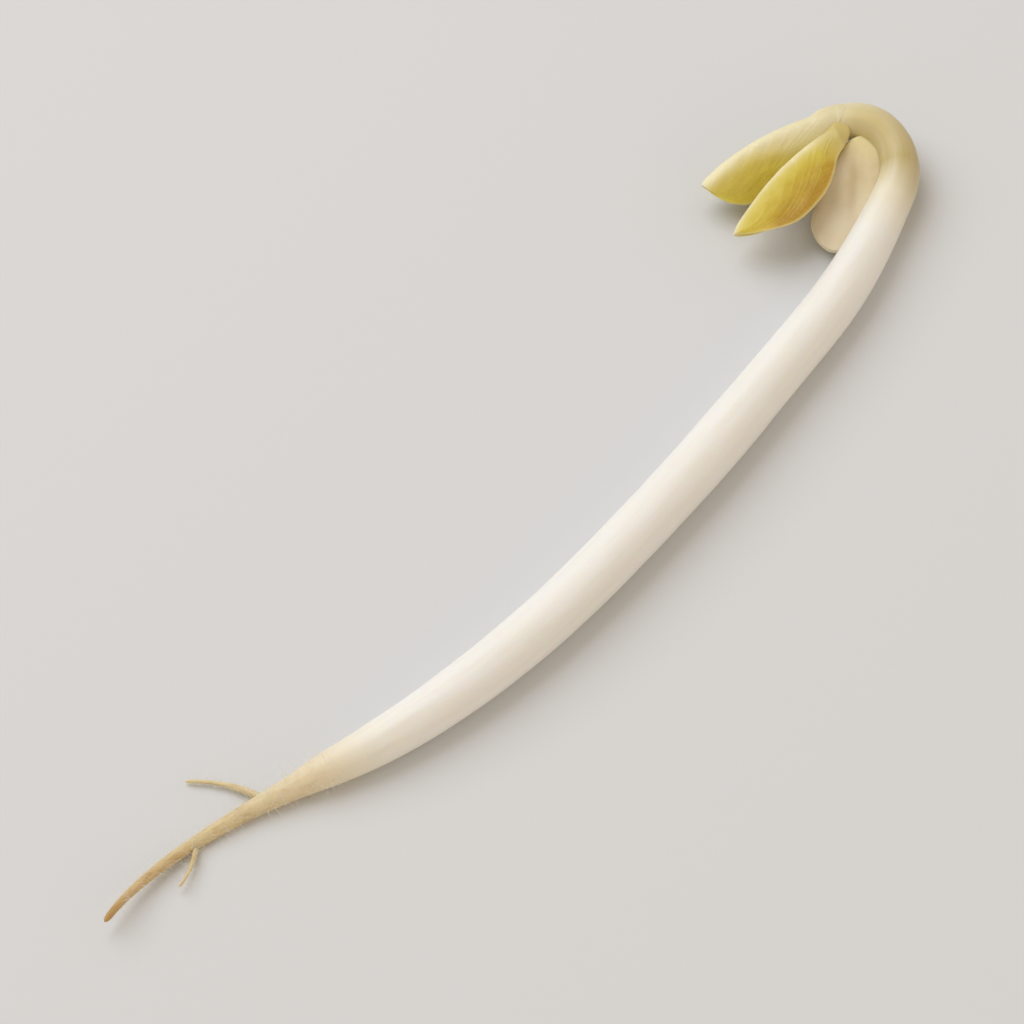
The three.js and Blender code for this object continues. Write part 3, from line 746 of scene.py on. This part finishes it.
place = np.stack([wide, high, t * length], axis=-1)
wrinkle = unevenness(place, (0.42, 0.42, 1.7), 31) * 0.6 + unevenness(place, (0.9, 0.9, 2.6), 32) * 0.4
shrunk = 1 + WRINKLE_SHARE * wrinkle * smoothstep(plump, 0.05, 0.6)
rings = beside(t * length, wide * (1 + (shrunk - 1) * 0.4), high * shrunk)
seed_values = {"tongue": place, "wrinkle": wrinkle}
make_piece("seed_leaf_flesh", [(rings, seed_values)], "seed_leaf", seed_flesh)

# ---- Floor, light and camera ----
# A plain, matt, pale table. One big soft lamp stands high behind the sprout, on the camera's
# left. A weak warm one, low in front on the right, and the pale room lift the shade side.

# Matt emulsion on a smooth board: an even light grey without a highlight.
paint = new_material("matt_paint")
skin = add_node(paint, "BsdfPrincipled", {"Base Color": linear("dfe1e4"), "Roughness": 0.8})
add_node(paint, "OutputMaterial", {"Surface": skin.outputs[0]})
REACH = 3  # metres, so that the table's edge is far off
corners = [(-REACH, -REACH, 0), (REACH, -REACH, 0), (REACH, REACH, 0), (-REACH, REACH, 0)]
floor_mesh = bpy.data.meshes.new("floor")
floor_mesh.from_pydata(corners, [], [(0, 1, 2, 3)])
floor_mesh.materials.append(paint)
floor = bpy.data.objects.new("floor", floor_mesh)
bpy.context.collection.objects.link(floor)

# The pale walls and ceiling around it, faintly warm.
room = bpy.data.worlds.new("room")
room.use_nodes = True
room.node_tree.nodes["Background"].inputs[0].default_value = linear("fff5e6")
room.node_tree.nodes["Background"].inputs[1].default_value = 0.5
bpy.context.scene.world = room


def soft_lamp(name, away, distance, size, watts, hex_colour):
    """A square lamp that shines at the sprout from the direction `away`."""
    lamp = bpy.data.lights.new(name, "AREA")
    lamp.size = size
    lamp.energy = watts
    lamp.color = linear(hex_colour)[:3]
    holder = bpy.data.objects.new(name, lamp)
    way = Vector(away).normalized()
    holder.location = way * distance
    holder.rotation_euler = way.to_track_quat("Z", "Y").to_euler()
    bpy.context.collection.objects.link(holder)


soft_lamp("window_lamp", (0.03, 0.62, 0.78), 0.8, 0.8, 4.35, "f8faff")
soft_lamp("warm_fill", (-0.2, -0.9, 0.35), 0.8, 0.6, 0.8, "ffd9a6")

# The camera looks steeply down with a long lens, from 0.44 m away.
CAMERA_PLACE = Vector((-217.47, -139.79, 356.78)) * MM
CAMERA_AIM = Vector((0.4935, 0.3225, -0.8077))
CAMERA_ROLL = math.radians(2.035)
level_right = CAMERA_AIM.cross(Vector((0, 0, 1))).normalized()
level_up = level_right.cross(CAMERA_AIM)
right = level_right * math.cos(CAMERA_ROLL) + level_up * math.sin(CAMERA_ROLL)
up = level_up * math.cos(CAMERA_ROLL) - level_right * math.sin(CAMERA_ROLL)
lens = bpy.data.cameras.new("camera")
lens.sensor_width = 36
lens.lens = 247.2
lens.clip_start = 0.01
camera = bpy.data.objects.new("camera", lens)
turned = Matrix((right, up, -CAMERA_AIM)).transposed().to_4x4()
camera.matrix_world = Matrix.Translation(CAMERA_PLACE) @ turned
bpy.context.collection.objects.link(camera)
bpy.context.scene.camera = camera
bpy.context.scene.view_settings.view_transform = "Standard"
